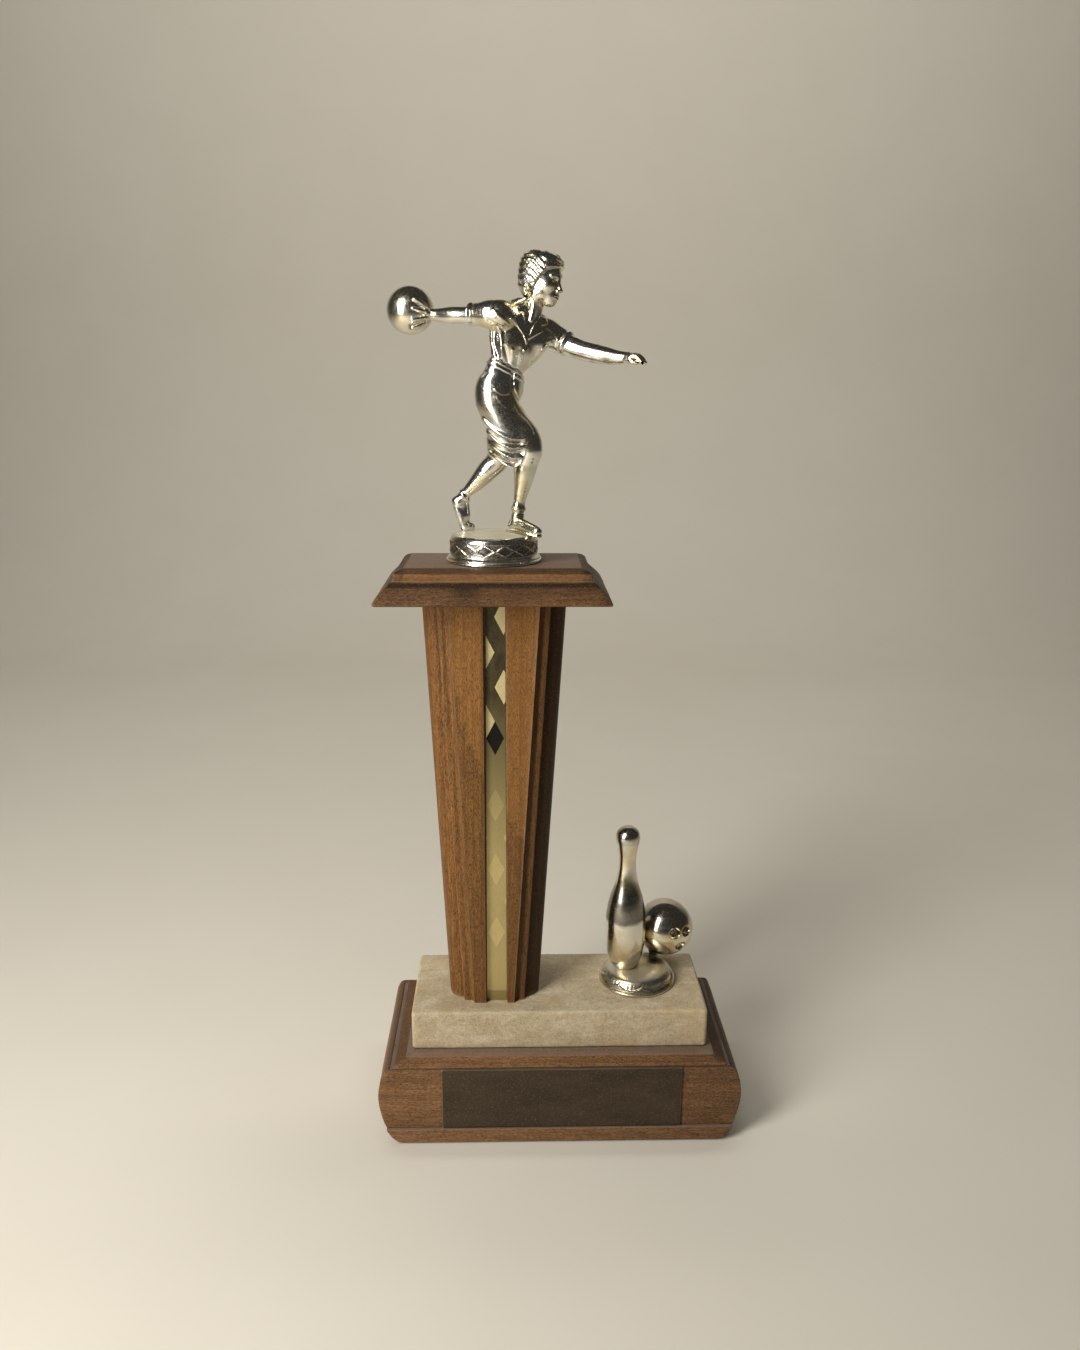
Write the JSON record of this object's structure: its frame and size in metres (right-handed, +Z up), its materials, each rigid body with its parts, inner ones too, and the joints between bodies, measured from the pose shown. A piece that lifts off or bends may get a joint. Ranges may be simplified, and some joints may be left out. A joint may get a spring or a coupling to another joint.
{
  "type": "bowling trophy",
  "caption": "Free-standing trophy: moulded wooden base with marble slab, tapering column with foil inlay, cast bowler figure on top and a small pin and ball beside the column.",
  "frame": {"origin": "centre of the felt's underside, on the surface the trophy stands on", "axes": "+Z up, -Y out of the front with the name plate, +X to the side of the pin and ball"},
  "size_m": [0.1864, 0.0921, 0.4362],
  "materials": {
    "walnut": "satin varnish, dusty on its top faces",
    "walnut_front": "satin varnish on lighter flat-sawn boards",
    "marble": "worn polish, mottled cream",
    "plate": "dark tarnish with faint speckle",
    "foil": "printed metallic foil with diamonds",
    "silvered": "bright plated casting with a faint warm tint and worn patches",
    "zinc": "zinc plate",
    "felt": "pressed felt"
  },
  "bodies": {
    "stand": {"base_block": "walnut", "felt_pad": "felt", "name_plate": "plate", "marble_slab": "marble", "column_core": "walnut", "column_board_left": "walnut_front", "column_board_right": "walnut_front", "inlay_strip": "foil", "cap_block": "walnut", "tie_rod": "zinc", "base_nut": "zinc", "base_lock_washer": "zinc", "base_washer": "zinc", "cap_washer": "zinc", "cap_nut": "zinc", "trim_stud": "zinc", "trim_nut": "zinc", "trim_washer": "zinc"},
    "bowler": {"figure_riser": "silvered", "bowler_figure": "silvered"},
    "side_trim": {"trim_base": "silvered", "trim_pin": "silvered", "trim_ball": "silvered"}
  },
  "joints": [
    {"name": "figure_swivel", "type": "hinge", "parent": "stand", "child": "bowler", "pos_m": [-0.0328, 0, 0.3], "axis": [0, 0, 1], "range_deg": [-180, 180]},
    {"name": "trim_swivel", "type": "hinge", "parent": "stand", "child": "side_trim", "pos_m": [0.0428, 0.0028, 0.07], "axis": [0, 0, 1], "range_deg": [-180, 180]}
  ]
}
